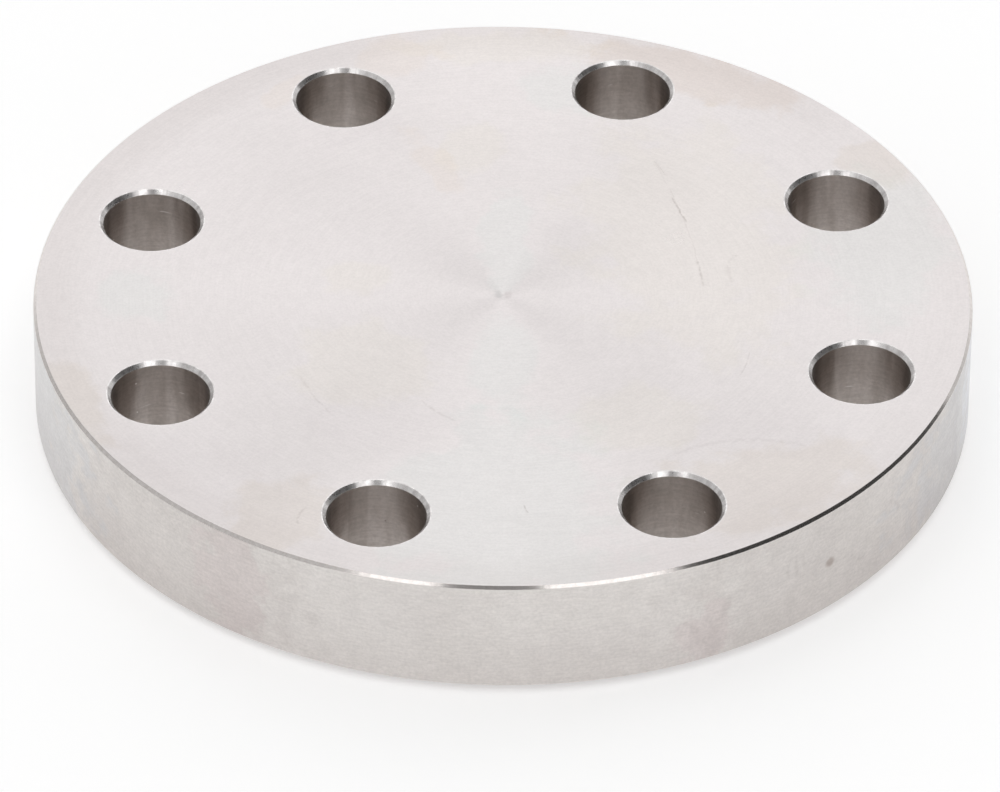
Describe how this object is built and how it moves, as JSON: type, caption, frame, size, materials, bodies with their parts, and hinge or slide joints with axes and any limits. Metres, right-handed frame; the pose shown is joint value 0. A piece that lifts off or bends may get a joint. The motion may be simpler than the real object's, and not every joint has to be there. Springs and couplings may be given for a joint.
{
  "type": "blind flange",
  "caption": "Solid round pipe-end closure: thick steel disc with a ring of chamfered bolt holes, a flat turned back and a raised gasket face below.",
  "frame": {"origin": "centre of the gasket face, the plane of the raised face that seals against the gasket", "axes": "+Z along the flange's axis from the gasket face to the flat back face; the bolt holes straddle the X and Y centre lines"},
  "size_m": [0.2104, 0.2104, 0.0292],
  "materials": {
    "turned_stainless": "fine turned stainless steel"
  },
  "bodies": {
    "root": {"flange_disc": "turned_stainless"}
  },
  "joints": []
}
